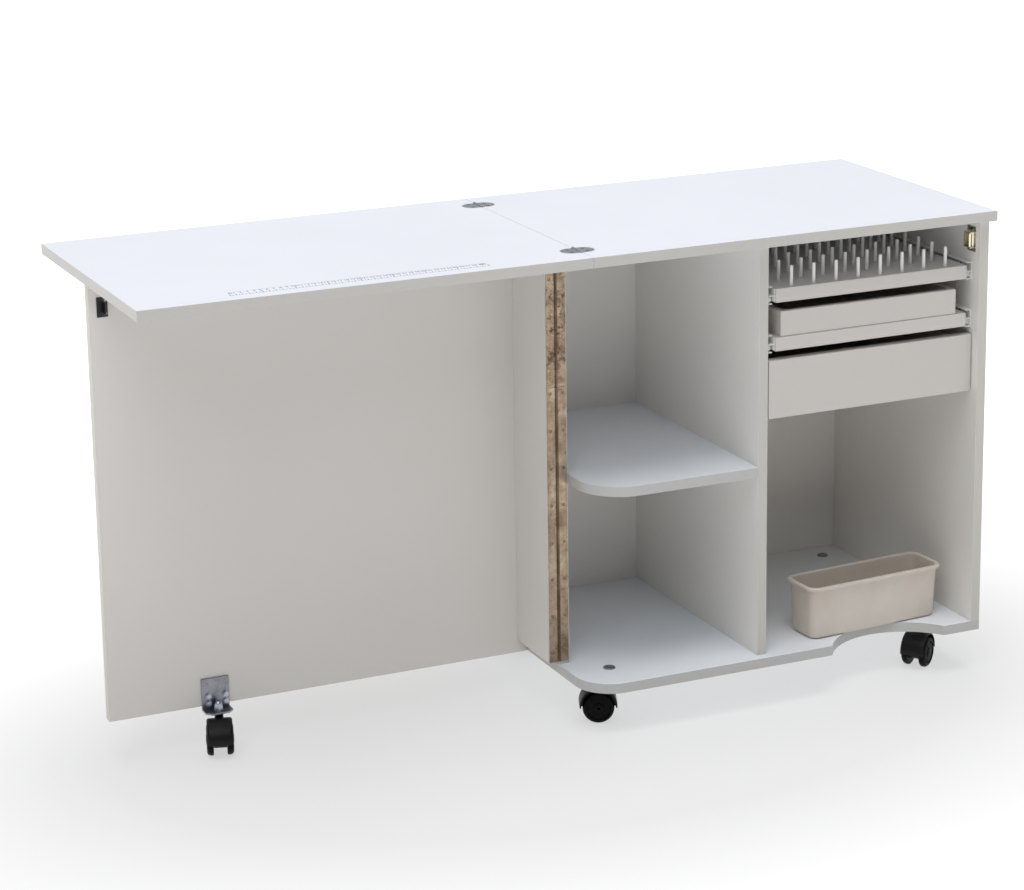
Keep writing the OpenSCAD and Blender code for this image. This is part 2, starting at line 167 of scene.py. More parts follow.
def laminate(name, base, band, box=None, thin=2, seed=0.0):
    """White melamine on chipboard. box is the board's own box in metres, thin the axis of its thickness:
    the edge band, partly its own tone and partly painted shade, shows as a different strip round the board with a
    hairline glue joint beside it."""
    k = Mat(name, Specular_IOR_Level=0.45, Coat_Weight=0.12, Coat_Roughness=0.22)
    loc = (seed, seed * 1.7, seed * 0.6)
    cloud = k.noise(2.3, 3, 0.55, k.scaled(loc=loc))
    fine = k.noise(420, 2, 0.6)
    pearl = k.noise(1500, 1, 0.5)
    base2 = tuple(c * 0.965 for c in base[:3]) + (1,)
    col = k.ramp(cloud, (0.32, base2), (0.68, base))
    # faint handling marks
    smudge = k.noise(9, 4, 0.62, k.scaled(1, 1, 0.7, loc=(3.1 + seed, 1.2, 0.4)))
    col = k.mix(k.rng(smudge, 0.60, 0.82, 0.0, 0.10), col, (base[0] * 0.9, base[1] * 0.89, base[2] * 0.87, 1))
    # the band covers the faces that run round the board; its colour is partly painted shade
    sep = k.node("ShaderNodeSeparateXYZ")
    k.link(k.no, sep.inputs[0])
    on_band = k.rng(k.math("ABSOLUTE", sep.outputs[thin]), 0.35, 0.55, 1.0, 0.0)
    col = k.mix(on_band, col, band)
    if box:
        sep = k.node("ShaderNodeSeparateXYZ")
        k.link(k.co, sep.inputs[0])
        d = None
        for ax in range(3):
            if ax == thin:
                continue
            c, h = (box[0][ax] + box[1][ax]) / 2, (box[1][ax] - box[0][ax]) / 2
            a = k.math("SUBTRACT", h, k.math("ABSOLUTE", k.math("SUBTRACT", sep.outputs[ax], c)))
            d = a if d is None else k.math("MINIMUM", d, a)
        line = k.math("MULTIPLY", k.rng(d, 0.00072, 0.00085, 0.0, 1.0), k.rng(d, 0.00085, 0.00105, 1.0, 0.0))
        line = k.math("MULTIPLY", line, k.math("SUBTRACT", 1.0, on_band))
        col = k.mix(k.math("MULTIPLY", line, 0.40), col, (0.30, 0.27, 0.22, 1))
    k.color(col)
    k.rough(k.rng(k.math("ADD", k.math("MULTIPLY", fine, 0.6), k.math("MULTIPLY", smudge, 0.4)), 0.25, 0.75, 0.30, 0.44))
    k.bump(k.math("ADD", k.math("MULTIPLY", fine, 0.4), k.math("MULTIPLY", pearl, 0.6)), 0.16, 0.00012)
    return k.m


# painted light: the tops are the same white melamine as the door, painted brighter and bluer for the overhead light;
# their edge band is painted darker as shade on the vertical edges
TOP_LIT_WHITE = srgb(236, 239, 247)
TOP_BAND_SHADED = srgb(194, 191, 187)
WHITE = srgb(223, 219, 214)
WHITE_BAND = srgb(205, 201, 194)
# painted light: the carcass boards are the same white melamine, painted lighter to stand in for light bounced round the
# bays, the shelf and bottom board lighter and bluer as if lit from above and in front; their edge bands are painted
# darker as shade on the front edges
INNER_LIT_WHITE = srgb(241, 238, 233)
INNER_UP_LIT_BLUE = srgb(231, 235, 240)
INNER_BAND_SHADED = srgb(198, 195, 188)
LOW_BAND_SHADED = srgb(189, 188, 187)
# painted shade: the drawer front, tray boards and tray box are the same white melamine as the door, painted darker
# because they stand forward in the front light; their band is the same
FRONT_SHADED_WHITE = srgb(202, 198, 193)


def metal(name, c0, c1, r0, r1, scale=60, streak=None, aniso=0.0, coat=0.0):
    k = Mat(name, Metallic=1.0, Anisotropic=aniso, Coat_Weight=coat)
    n = k.noise(scale, 4, 0.6)
    k.color(k.ramp(n, (0.3, c0), (0.7, c1)))
    m = k.noise(scale * 5, 3, 0.6, k.scaled(*streak) if streak else None)
    k.rough(k.rng(m, 0.25, 0.75, r0, r1))
    k.bump(m, 0.12, 0.00008)
    return k


def brass_mat():
    k = Mat("piano_hinge_brass", Metallic=1.0, Specular_IOR_Level=0.5)
    n = k.noise(34, 4, 0.62)
    spots = k.noise(150, 3, 0.7)
    col = k.ramp(n, (0.28, srgb(120, 102, 84)), (0.5, srgb(160, 141, 120)), (0.74, srgb(190, 175, 152)))
    # worn dark round the knuckles and along the leaves' outer edges, and spotted where hands reach, high up
    sep = k.node("ShaderNodeSeparateXYZ")
    k.link(k.co, sep.inputs[0])
    high = k.rng(sep.outputs[2], 0.48, 0.62, 0.45, 1.0)
    col = k.mix(k.math("MULTIPLY", high, k.rng(spots, 0.54, 0.68, 0.0, 0.85)), col, srgb(78, 60, 50))
    blotch = k.noise(58, 5, 0.72, dist=1.2)
    col = k.mix(k.math("MULTIPLY", k.rng(sep.outputs[2], 0.50, 0.60, 0.0, 1.0), k.rng(blotch, 0.54, 0.62, 0.0, 0.88)), col, srgb(70, 54, 46))
    col = k.mix(k.rng(k.noise(70, 4, 0.7, k.scaled(1, 1, 0.3)), 0.54, 0.68, 0.0, 0.50), col, srgb(112, 88, 74))
    col = k.mix(k.math("MULTIPLY", high, k.rng(k.noise(190, 3, 0.6), 0.60, 0.72, 0.0, 0.6)), col, srgb(206, 194, 176))
    off = k.math("ABSOLUTE", sep.outputs[0])
    grime = k.noise(120, 4, 0.65, k.scaled(1, 1, 0.25))
    knuckle = k.math("MULTIPLY", k.rng(off, 0.0021, 0.0034, 1.0, 0.0), k.rng(grime, 0.25, 0.6, 0.55, 0.95))
    col = k.mix(knuckle, col, srgb(88, 73, 56))
    col = k.mix(k.math("MULTIPLY", k.rng(off, 0.0145, 0.0160, 0.0, 1.0), k.rng(grime, 0.35, 0.7, 0.0, 0.35)), col, srgb(104, 88, 68))
    k.color(col)
    k.rough(k.rng(k.noise(260, 3, 0.6, k.scaled(1, 1, 0.08)), 0.3, 0.7, 0.30, 0.50))
    k.bump(k.noise(700, 2, 0.5, k.scaled(1, 1, 0.05)), 0.15, 0.00006)
    return k.m


def zinc_mat(name="zinc_plate", c=((126, 128, 136), (152, 154, 161), (170, 172, 178))):
    k = Mat(name, Metallic=1.0)
    n = k.noise(70, 4, 0.62, dist=0.6)
    col = k.ramp(n, (0.25, srgb(*c[0])), (0.5, srgb(*c[1])), (0.75, srgb(*c[2])))
    # crystalline spangle of the plating
    v = k.node("ShaderNodeTexVoronoi")
    v.inputs["Scale"].default_value = 190
    k.link(k.co, v.inputs["Vector"])
    col = k.mix(k.rng(v.outputs["Distance"], 0.0, 0.9, 0.0, 0.30), col, srgb(*c[0]))
    k.color(col)
    k.rough(k.rng(k.noise(300, 3, 0.6), 0.3, 0.7, 0.24, 0.40))
    k.bump(k.noise(420, 3, 0.6), 0.10, 0.00008)
    return k.m


def black_plastic(name="castor_nylon", base=(0.0058, 0.0050, 0.0058, 1), r0=0.34, r1=0.5, spec=0.26):
    k = Mat(name, Specular_IOR_Level=spec)
    dust = k.noise(90, 5, 0.66)
    col = k.mix(k.rng(dust, 0.55, 0.80, 0.0, 0.12), base, (0.034, 0.032, 0.033, 1))
    k.color(col)
    k.rough(k.rng(k.noise(520, 3, 0.6), 0.3, 0.7, r0, r1))
    k.bump(k.noise(1300, 2, 0.6), 0.22, 0.00010)
    return k.m


def moulded(name, c0, c1, r0=0.32, r1=0.46, grain=1100, strength=0.2, sss=0.0):
    k = Mat(name, Specular_IOR_Level=0.5, Subsurface_Weight=sss, Subsurface_Scale=0.004)
    k.color(k.ramp(k.noise(14, 4, 0.6), (0.3, c0), (0.7, c1)))
    k.rough(k.rng(k.noise(300, 3, 0.6), 0.3, 0.7, r0, r1))
    k.bump(k.noise(grain, 2, 0.6), strength, 0.00010)
    return k.m


def wood_mat():
    k = Mat("beech_dowel", Specular_IOR_Level=0.4)
    n = k.noise(60, 5, 0.6, k.scaled(1, 1, 0.1), dist=0.4)
    k.color(k.ramp(n, (0.3, srgb(186, 152, 108)), (0.7, srgb(212, 182, 138))))
    k.rough(k.rng(n, 0.3, 0.7, 0.5, 0.65))
    k.bump(n, 0.3, 0.0002)
    return k.m


BRASS = brass_mat()
HINGE_SCREW = metal("hinge_screw_brass", srgb(112, 98, 76), srgb(150, 134, 106), 0.32, 0.46, 220).m
ZINC = zinc_mat()
# painted highlight: the bolts' zinc is painted brighter and bluer than the bracket's, standing in for glints on their
# heads
BOLT_ZINC_GLINT = zinc_mat("zinc_bolts_painted_glint", ((150, 154, 170), (196, 200, 212), (222, 226, 232)))
# painted light: the catch is painted pale brass to stand in for the light it lacks in the shade of the bay, and its
# rollers near white as painted highlights
CATCH_LIT_BRASS = metal("catch_brass_painted_light", srgb(206, 197, 168), srgb(232, 226, 202), 0.30, 0.44, 160).m
CATCH_ROLLER_HIGHLIGHT = metal("catch_roller_painted_highlight", srgb(232, 226, 204), srgb(250, 246, 230), 0.26, 0.38, 160).m
SATIN = Mat("hinge_plate_satin", Metallic=0.85, Specular_IOR_Level=0.5)
SATIN.color(SATIN.ramp(SATIN.noise(160, 3, 0.6), (0.3, srgb(196, 199, 206)), (0.7, srgb(222, 224, 230))))
SATIN.rough(SATIN.rng(SATIN.noise(420, 3, 0.6, SATIN.scaled(1, 0.1, 1)), 0.3, 0.7, 0.42, 0.58))
SATIN.bump(SATIN.noise(900, 2, 0.5, SATIN.scaled(1, 0.06, 1)), 0.16, 0.00005)
SATIN = SATIN.m
BLACK = black_plastic()
BLACK_WHEEL = black_plastic("castor_wheel_nylon", (0.0032, 0.0027, 0.0030, 1), 0.36, 0.50, 0.10)
STEM = metal("stem_black_oxide", (0.018, 0.018, 0.020, 1), (0.032, 0.032, 0.036, 1), 0.34, 0.5, 90).m
DARK = metal("strike_black_oxide", (0.030, 0.029, 0.030, 1), (0.055, 0.053, 0.052, 1), 0.36, 0.52, 120).m
STEEL = metal("axle_steel", srgb(150, 150, 154), srgb(182, 182, 186), 0.25, 0.38, 120, (1, 1, 1), 0.3).m
CAP = metal("stem_cap_steel", srgb(120, 124, 132), srgb(168, 172, 180), 0.26, 0.42, 160).m
RAIL = moulded("runner_enamel", srgb(226, 227, 224), srgb(234, 235, 232), 0.28, 0.40, 700, 0.12)
PEG = moulded("peg_plastic", srgb(232, 231, 226), srgb(240, 239, 235), 0.28, 0.38, 900, 0.12, 0.05)
BIN = moulded("bin_plastic", srgb(205, 195, 184), srgb(214, 205, 195), 0.34, 0.50, 1000, 0.30, 0.06)
PAD = moulded("pad_rubber", srgb(150, 150, 148), srgb(166, 166, 164), 0.45, 0.6, 900, 0.3)
WOOD = wood_mat()
INK = Mat("scale_ink", Roughness=0.5)
INK.color(INK.ramp(INK.noise(240, 3, 0.6), (0.3, srgb(62, 64, 84)), (0.7, srgb(86, 88, 108))))
INK = INK.m


# ------------------------------------------------------------------ mesh tools
def shade(ob, angle=32):
    me = ob.data
    for p in me.polygons:
        p.use_smooth = True
    me.set_sharp_from_angle(angle=math.radians(angle))


def add(name, bm, mat, body, replaces=(), angle=32, weighted=False):
    bmesh.ops.recalc_face_normals(bm, faces=bm.faces)
    me = bpy.data.meshes.new(name)
    bm.to_mesh(me)
    bm.free()
    ob = bpy.data.objects.new(name, me)
    bpy.context.scene.collection.objects.link(ob)
    me.materials.append(mat)
    shade(ob, angle)
    if weighted:
        w = ob.modifiers.new("normals", "WEIGHTED_NORMAL")
        w.keep_sharp = True
    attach(ob, body)
    if replaces:
        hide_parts(*replaces)
    return ob


def refine(node, mat, bevel=0.0006, segs=2, angle=40, name=None, skip=None):
    """The CAD node's own shape, with its sharp edges broken by a small round."""
    src = NODES[node]
    bm = bmesh.new()
    bm.from_mesh(src.data)
    bmesh.ops.remove_doubles(bm, verts=bm.verts, dist=1e-5)
    bmesh.ops.dissolve_limit(bm, angle_limit=math.radians(0.5), verts=bm.verts, edges=bm.edges)
    if bevel:
        es = [e for e in bm.edges if len(e.link_faces) == 2 and e.calc_face_angle(0) > math.radians(angle)]
        if skip:
            es = [e for e in es if not all(all(skip[0][a] <= v.co[a] <= skip[1][a] for a in range(3)) for v in e.verts)]
        bmesh.ops.bevel(bm, geom=es, offset=bevel, offset_type="OFFSET", segments=segs, profile=0.5, affect="EDGES", clamp_overlap=True)
    return add(name or node + "_finished", bm, mat, BODY[node], (node,), 32, True)


def arc(cx, cy, r, a0, a1, n):
    return [(cx + r * math.cos(math.radians(a0 + (a1 - a0) * i / n)), cy + r * math.sin(math.radians(a0 + (a1 - a0) * i / n))) for i in range(n + 1)]


def lathe(bm, prof, mat4, n=64):
    """Turns prof, a closed loop of (radius, height), about local Z, and places it with mat4."""
    rings = []
    for r, h in prof:
        if r < 1e-7:
            rings.append([bm.verts.new(mat4 @ Vector((0, 0, h)))])
        else:
            rings.append([bm.verts.new(mat4 @ Vector((r * math.cos(2 * math.pi * i / n), r * math.sin(2 * math.pi * i / n), h))) for i in range(n)])
    m = len(rings)
    closed = len(rings[0]) > 1 or len(rings[-1]) > 1
    for a in range(m if closed else m - 1):
        A, B = rings[a], rings[(a + 1) % m]
        if len(A) == 1 and len(B) == 1:
            continue
        for i in range(n):
            j = (i + 1) % n
            if len(A) == 1:
                bm.faces.new((A[0], B[j], B[i]))
            elif len(B) == 1:
                bm.faces.new((A[i], A[j], B[0]))
            else:
                bm.faces.new((A[i], A[j], B[j], B[i]))


def axis_to(origin, direction, spin=0.0):
    q = Vector(direction).to_track_quat("Z", "Y")
    return Matrix.Translation(origin) @ q.to_matrix().to_4x4() @ Matrix.Rotation(spin, 4, "Z")


def ubox(bm, lo, hi, bevel=0.0, segs=2, mat4=None):
    r = bmesh.ops.create_cube(bm, size=1)
    vs = r["verts"]
    for v in vs:
        v.co = Vector([(lo[i] + hi[i]) / 2 + v.co[i] * (hi[i] - lo[i]) for i in range(3)])
    fs = {f for v in vs for f in v.link_faces}
    if bevel:
        es = {e for f in fs for e in f.edges}
        out = bmesh.ops.bevel(bm, geom=list(es), offset=bevel, segments=segs, profile=0.5, affect="EDGES")
        vs = list({v for f in out["faces"] for v in f.verts} | {v for v in vs if v.is_valid})
    if mat4 is not None:
        for v in vs:
            v.co = mat4 @ v.co


# ------------------------------------------------------------------ boards
random.seed(7)
BOARDS = {
    "main_top": 2, "leaf_top": 2, "left_side": 0, "right_side": 0, "partition": 0, "back_panel": 1,
    "bottom_board": 2, "machine_shelf": 2, "door_panel": 1, "return_panel": 0, "peg_tray_board": 2,
    "box_tray_board": 2, "drawer_front": 1, "drawer_sides": 0, "drawer_back": 1,
}
for i, (node, thin) in enumerate(BOARDS.items()):
    lo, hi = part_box(node)
    top = node in ("main_top", "leaf_top")
    curved = node in ("machine_shelf", "bottom_board")
    base, band = (WHITE, WHITE_BAND)
    if top:
        base, band = TOP_LIT_WHITE, TOP_BAND_SHADED
    elif curved:
        base, band = INNER_UP_LIT_BLUE, LOW_BAND_SHADED
    elif node in ("left_side", "right_side", "partition", "back_panel"):
        base, band = INNER_LIT_WHITE, INNER_BAND_SHADED
    elif node in ("drawer_front", "peg_tray_board", "box_tray_board"):
        base, band = FRONT_SHADED_WHITE, FRONT_SHADED_WHITE
    m = laminate("laminate_" + node, base, band, None if curved else (lo, hi), thin, i * 1.37)
    refine(node, m, 0.0007 if top else 0.0006, skip=(P(-556, 23, 765), P(-154, 47, 767)) if node == "leaf_top" else None)
refine("tray_box", laminate("laminate_tray_box", FRONT_SHADED_WHITE, FRONT_SHADED_WHITE, None, 2, 31.0), 0.0010, 3)
refine("drawer_bottom", laminate("laminate_drawer_bottom", WHITE, WHITE_BAND, None, 2, 33.0), 0.0003)

# ------------------------------------------------------------------ hardware kept from the CAD
for node, m, b in (
    ("door_hinge_fixed_leaf", BRASS, 0.00012), ("door_hinge_moving_leaf", BRASS, 0.00012), ("door_hinge_pins", BRASS, 0.0002),
    ("leaf_hinge_fixed_plates", SATIN, 0.00022), ("leaf_hinge_moving_plates", SATIN, 0.00022), ("leaf_hinge_pins", ZINC, 0.0002),
    ("catch_body", CATCH_LIT_BRASS, 0.0003), ("catch_rollers", CATCH_ROLLER_HIGHLIGHT, 0.0003), ("strike_plate", DARK, 0.0003),
    ("castor_bracket", ZINC, 0.0007), ("bracket_bolts", BOLT_ZINC_GLINT, 0.0004), ("door_castor_stem", STEM, 0.0005), ("castor_stems", STEM, 0.0005),
    ("cabinet_rails", RAIL, 0.0003), ("peg_tray_rails", RAIL, 0.0003), ("box_tray_rails", RAIL, 0.0003), ("drawer_rails", RAIL, 0.0003),
    ("carcass_dowels", WOOD, 0.0006), ("door_corner_dowels", WOOD, 0.0006), ("leaf_support_pads", PAD, 0.0005),
):
    refine(node, m, b)


# ------------------------------------------------------------------ screws with cross recesses
def cross_head(bm, M, r, depth=0.0010, arm=0.62, wid=0.17):
    """Flat countersunk head: face at local z = 0, shank along +z."""
    n = 32
    rim = [bm.verts.new(M @ Vector((r * math.cos(2 * math.pi * i / n), r * math.sin(2 * math.pi * i / n), 0))) for i in range(n)]
    a, w = r * arm, r * wid
    pts = [(a, -w), (a, w), (w, w), (w, a), (-w, a), (-w, w), (-a, w), (-a, -w), (-w, -w), (-w, -a), (w, -a), (w, -w)]
    cr = [bm.verts.new(M @ Vector((x, y, 0))) for x, y in pts]
    lo = [bm.verts.new(M @ Vector((x * 0.72, y * 0.72, depth))) for x, y in pts]
    re = [bm.edges.new((rim[i], rim[(i + 1) % n])) for i in range(n)]
    ce = [bm.edges.new((cr[i], cr[(i + 1) % 12])) for i in range(12)]
    bmesh.ops.triangle_fill(bm, use_beauty=True, use_dissolve=False, edges=re + ce)
    for i in range(12):
        bm.faces.new((cr[i], cr[(i + 1) % 12], lo[(i + 1) % 12], lo[i]))
    bm.faces.new(lo)
    prof = [(r, 0.0), (r, 0.00012), (r - 0.0014, 0.0015), (r - 0.0015, 0.012), (0.0004, 0.0125)]
    rings = [rim]
    for rr, h in prof[1:]:
        rings.append([bm.verts.new(M @ Vector((rr * math.cos(2 * math.pi * i / n), rr * math.sin(2 * math.pi * i / n), h))) for i in range(n)])
    for A, B in zip(rings, rings[1:]):
        for i in range(n):
            bm.faces.new((A[i], A[(i + 1) % n], B[(i + 1) % n], B[i]))
    bm.faces.new(rings[-1])


def screws(name, node, places, mat, hinge=0):
    """The first hinge of the places get the hinge screws' duller finish."""
    bm = bmesh.new()
    for q, (p, d, r) in enumerate(places):
        M = axis_to(p, d, random.uniform(0, math.pi))
        before = len(bm.faces)
        cross_head(bm, M, r)
        bm.faces.ensure_lookup_table()
        for f in bm.faces[before:]:
            f.material_index = 1 if q < hinge else 0
    ob = add(name, bm, mat, BODY[node], (node,), 30)
    if hinge:
        ob.data.materials.append(HINGE_SCREW)
    return ob


HZ = [106 + 60 * i for i in range(11)]
LY = [57 - 9, 57 + 9, 423 - 9, 423 + 9]
RAILZ = ((664, 40), (587, 40), (515, 52))
cab = [(P(10.5, 136.2, z), (0, 1, 0), 0.00285) for z in HZ]
cab += [(P(13, y, 766), (0, 0, -1), 0.00285) for y in LY]
cab += [(P(679.6, 41, z), (1, 0, 0), 0.00235) for z in (699.8, 732.2)]
for z, y0 in RAILZ:
    for y in (y0 + 30, y0 + 330):
        cab.append((P(679.8, y, z + 6), (1, 0, 0), 0.00235))
        cab.append((P(313.2, y, z + 6), (-1, 0, 0), 0.00235))
screws("cabinet_screws_finished", "cabinet_screws", cab, ZINC, len(HZ))
screws("leaf_screws_finished", "leaf_screws", [(P(-13, y, 766), (0, 0, -1), 0.00285) for y in LY], ZINC)
screws("door_screws_finished", "door_screws", [(P(-10.5, 136.2, z), (0, 1, 0), 0.00285) for z in HZ]
       + [(P(-674 + 4.4, 254.1, z), (0, 1, 0), 0.00215) for z in (703, 723)], ZINC, len(HZ))

# ------------------------------------------------------------------ stem caps
bm = bmesh.new()
for x, y in ((63.7, 88.5), (63.7, 415), (634, 415)):
    prof = [(0, 0.0)] + [(0.0093, 0.0), (0.0095, 0.0002), (0.0095, 0.0008)] + arc(0.0083, 0.0008, 0.0012, 0, 70, 4) + [(0.0052, 0.0026), (0.0045, 0.00255), (0.0042, 0.0022), (0.0016, 0.0021), (0, 0.0021)]
    lathe(bm, prof, Matrix.Translation(P(x, y, 85)), 48)
lathe(bm, [(0, 0.0), (0.0095, 0.0), (0.0095, 0.0012), (0.0092, 0.0015), (0.0, 0.0015)], Matrix.Translation(P(634, 90, 83.5)), 48)
add("castor_caps_finished", bm, CAP, BODY["castor_caps"], ("castor_caps",), 28)

# ------------------------------------------------------------------ pegs
bm = bmesh.new()
for i in range(8):
    for j in range(9):
        x, y = 496.5 - 138.25 + 276.5 / 7 * i, 46 + 40 * j
        lean = Matrix.Rotation(math.radians(random.uniform(-0.35, 0.35)), 4, "X") @ Matrix.Rotation(math.radians(random.uniform(-0.35, 0.35)), 4, "Y")
        prof = [(0, -0.003), (0.0027, -0.003), (0.00275, 0.0), (0.00268, 0.0299)] + arc(0.0014, 0.0305, 0.00128, 0, 80, 5) + [(0, 0.0319)]
        lathe(bm, prof, Matrix.Translation(P(x, y, 675)) @ lean, 20)
add("pegs_finished", bm, PEG, BODY["pegs"], ("pegs",), 40)


# ------------------------------------------------------------------ storage bin
def rounded(l, w, r, n=10):
    pts = []
    for cx, cy, a0 in ((l / 2 - r, w / 2 - r, 0), (-l / 2 + r, w / 2 - r, 90), (-l / 2 + r, -w / 2 + r, 180), (l / 2 - r, -w / 2 + r, 270)):
        pts += arc(cx, cy, r, a0, a0 + 90, n)
    return pts


def loft(bm, levels, M):
    rings = [[bm.verts.new(M @ Vector((x, y, z))) for x, y in rounded(l, w, r)] for l, w, r, z in levels]
    n = len(rings[0])
    for A, B in zip(rings, rings[1:]):
        for i in range(n):
            bm.faces.new((A[i], A[(i + 1) % n], B[(i + 1) % n], B[i]))
    bm.faces.new(list(reversed(rings[0])))
    bm.faces.new(rings[-1])
    return rings


bm = bmesh.new()
M = Matrix.Translation(P(524.5, 94, 85.3)) @ Matrix.Rotation(math.radians(3.8), 4, "Z")
lv = []
# outside, from the floor up: rounded foot, slightly drafted wall, then the rolled rim
for a in range(0, 91, 15):
    s, c = math.sin(math.radians(a)), math.cos(math.radians(a))
    lv.append((0.2285 + 0.0115 * s, 0.0565 + 0.0115 * s, 0.0095 + 0.0050 * s, 0.0058 * (1 - c)))
for f in (0.3, 0.6, 0.9):
    lv.append((0.2400 + 0.0068 * f, 0.0680 + 0.0068 * f, 0.0145 + 0.0014 * f, 0.0058 + 0.0750 * f))
lv += [(0.2470, 0.0750, 0.0160, 0.0812), (0.2482, 0.0762, 0.0166, 0.0818), (0.2535, 0.0815, 0.0180, 0.0820), (0.2553, 0.0833, 0.0188, 0.0825),
       (0.2560, 0.0840, 0.0188, 0.0836), (0.2560, 0.0840, 0.0188, 0.0860), (0.2552, 0.0832, 0.0184, 0.0871), (0.2536, 0.0816, 0.0178, 0.0878),
       (0.2500, 0.0780, 0.0166, 0.0880), (0.2450, 0.0730, 0.0150, 0.0878), (0.2428, 0.0708, 0.0142, 0.0870), (0.2420, 0.0700, 0.0138, 0.0856)]
for f in (0.1, 0.4, 0.7, 1.0):
    lv.append((0.2420 - 0.0068 * f, 0.0700 - 0.0068 * f, 0.0138 - 0.0020 * f, 0.0856 - 0.0796 * f))
for a in (30, 60, 90):
    s, c = math.sin(math.radians(a)), math.cos(math.radians(a))
    lv.append((0.2352 - 0.0068 * (1 - c), 0.0632 - 0.0068 * (1 - c), 0.0118 - 0.0020 * (1 - c), 0.0060 - 0.0034 * s))
loft(bm, lv, M)
add("storage_bin_finished", bm, BIN, BODY["storage_bin"], ("storage_bin",), 50)

# ------------------------------------------------------------------ measuring scale
refine("measuring_scale", laminate("scale_strip", TOP_LIT_WHITE, TOP_LIT_WHITE, None, 2, 55.0), 0.0)
bm = bmesh.new()
z0, z1 = 0.76598, 0.76604
for i in range(0, 401, 5):
    x = -0.555 + i / 1000
    long = 0.0085 if i % 50 == 0 else (0.0062 if i % 10 == 0 else 0.0036)
    wd = 0.0011 if i % 50 == 0 else (0.0009 if i % 10 == 0 else 0.0006)
    x = min(max(x, -0.555 + wd), -0.155 - wd)
    ubox(bm, (x - wd / 2, Y0 + 0.0255, z0), (x + wd / 2, Y0 + 0.0255 + long, z1))
ubox(bm, (-0.5546, Y0 + 0.0250, z0), (-0.1554, Y0 + 0.0255, z1))
ubox(bm, (-0.5546, Y0 + 0.0442, z0), (-0.1554, Y0 + 0.0446, z1))
add("scale_ticks", bm, INK, "leaf")
for c in range(0, 41):
    cu = bpy.data.curves.new(f"scale_number_{c}", "FONT")
    cu.body = str(c)
    cu.size = 0.0104 if c % 5 == 0 else 0.0086
    cu.align_x = "CENTER"
    cu.align_y = "CENTER"
    cu.extrude = 0.00002
    ob = bpy.data.objects.new(f"scale_number_{c}", cu)
    bpy.context.scene.collection.objects.link(ob)
    ob.location = (min(max(-0.555 + c / 100, -0.5505), -0.1612), Y0 + 0.0386, 0.76602)
    dg = bpy.context.evaluated_depsgraph_get()
    me = bpy.data.meshes.new_from_object(ob.evaluated_get(dg))
    me.transform(Matrix.Translation(ob.location))
    bpy.data.objects.remove(ob)
    nb = bpy.data.objects.new(f"scale_number_{c}", me)
    bpy.context.scene.collection.objects.link(nb)
    me.materials.clear()
    me.materials.append(INK)
    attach(nb, "leaf")


# ------------------------------------------------------------------ castors
def sweep(bm, W, section, a0, a1, n, zc=0.0):
    """Sweeps section, a closed loop of (y, radius), round the axle line raised by zc, from a0 to a1 degrees."""
    rings = []
    for i in range(n + 1):
        a = math.radians(a0 + (a1 - a0) * i / n)
        rings.append([bm.verts.new(W @ Vector((rr * math.cos(a), yy, zc + rr * math.sin(a)))) for yy, rr in section])
    m = len(section)
    for A, B in zip(rings, rings[1:]):
        for i in range(m):
            bm.faces.new((A[i], A[(i + 1) % m], B[(i + 1) % m], B[i]))
    bm.faces.new(rings[0])
    bm.faces.new(list(reversed(rings[-1])))


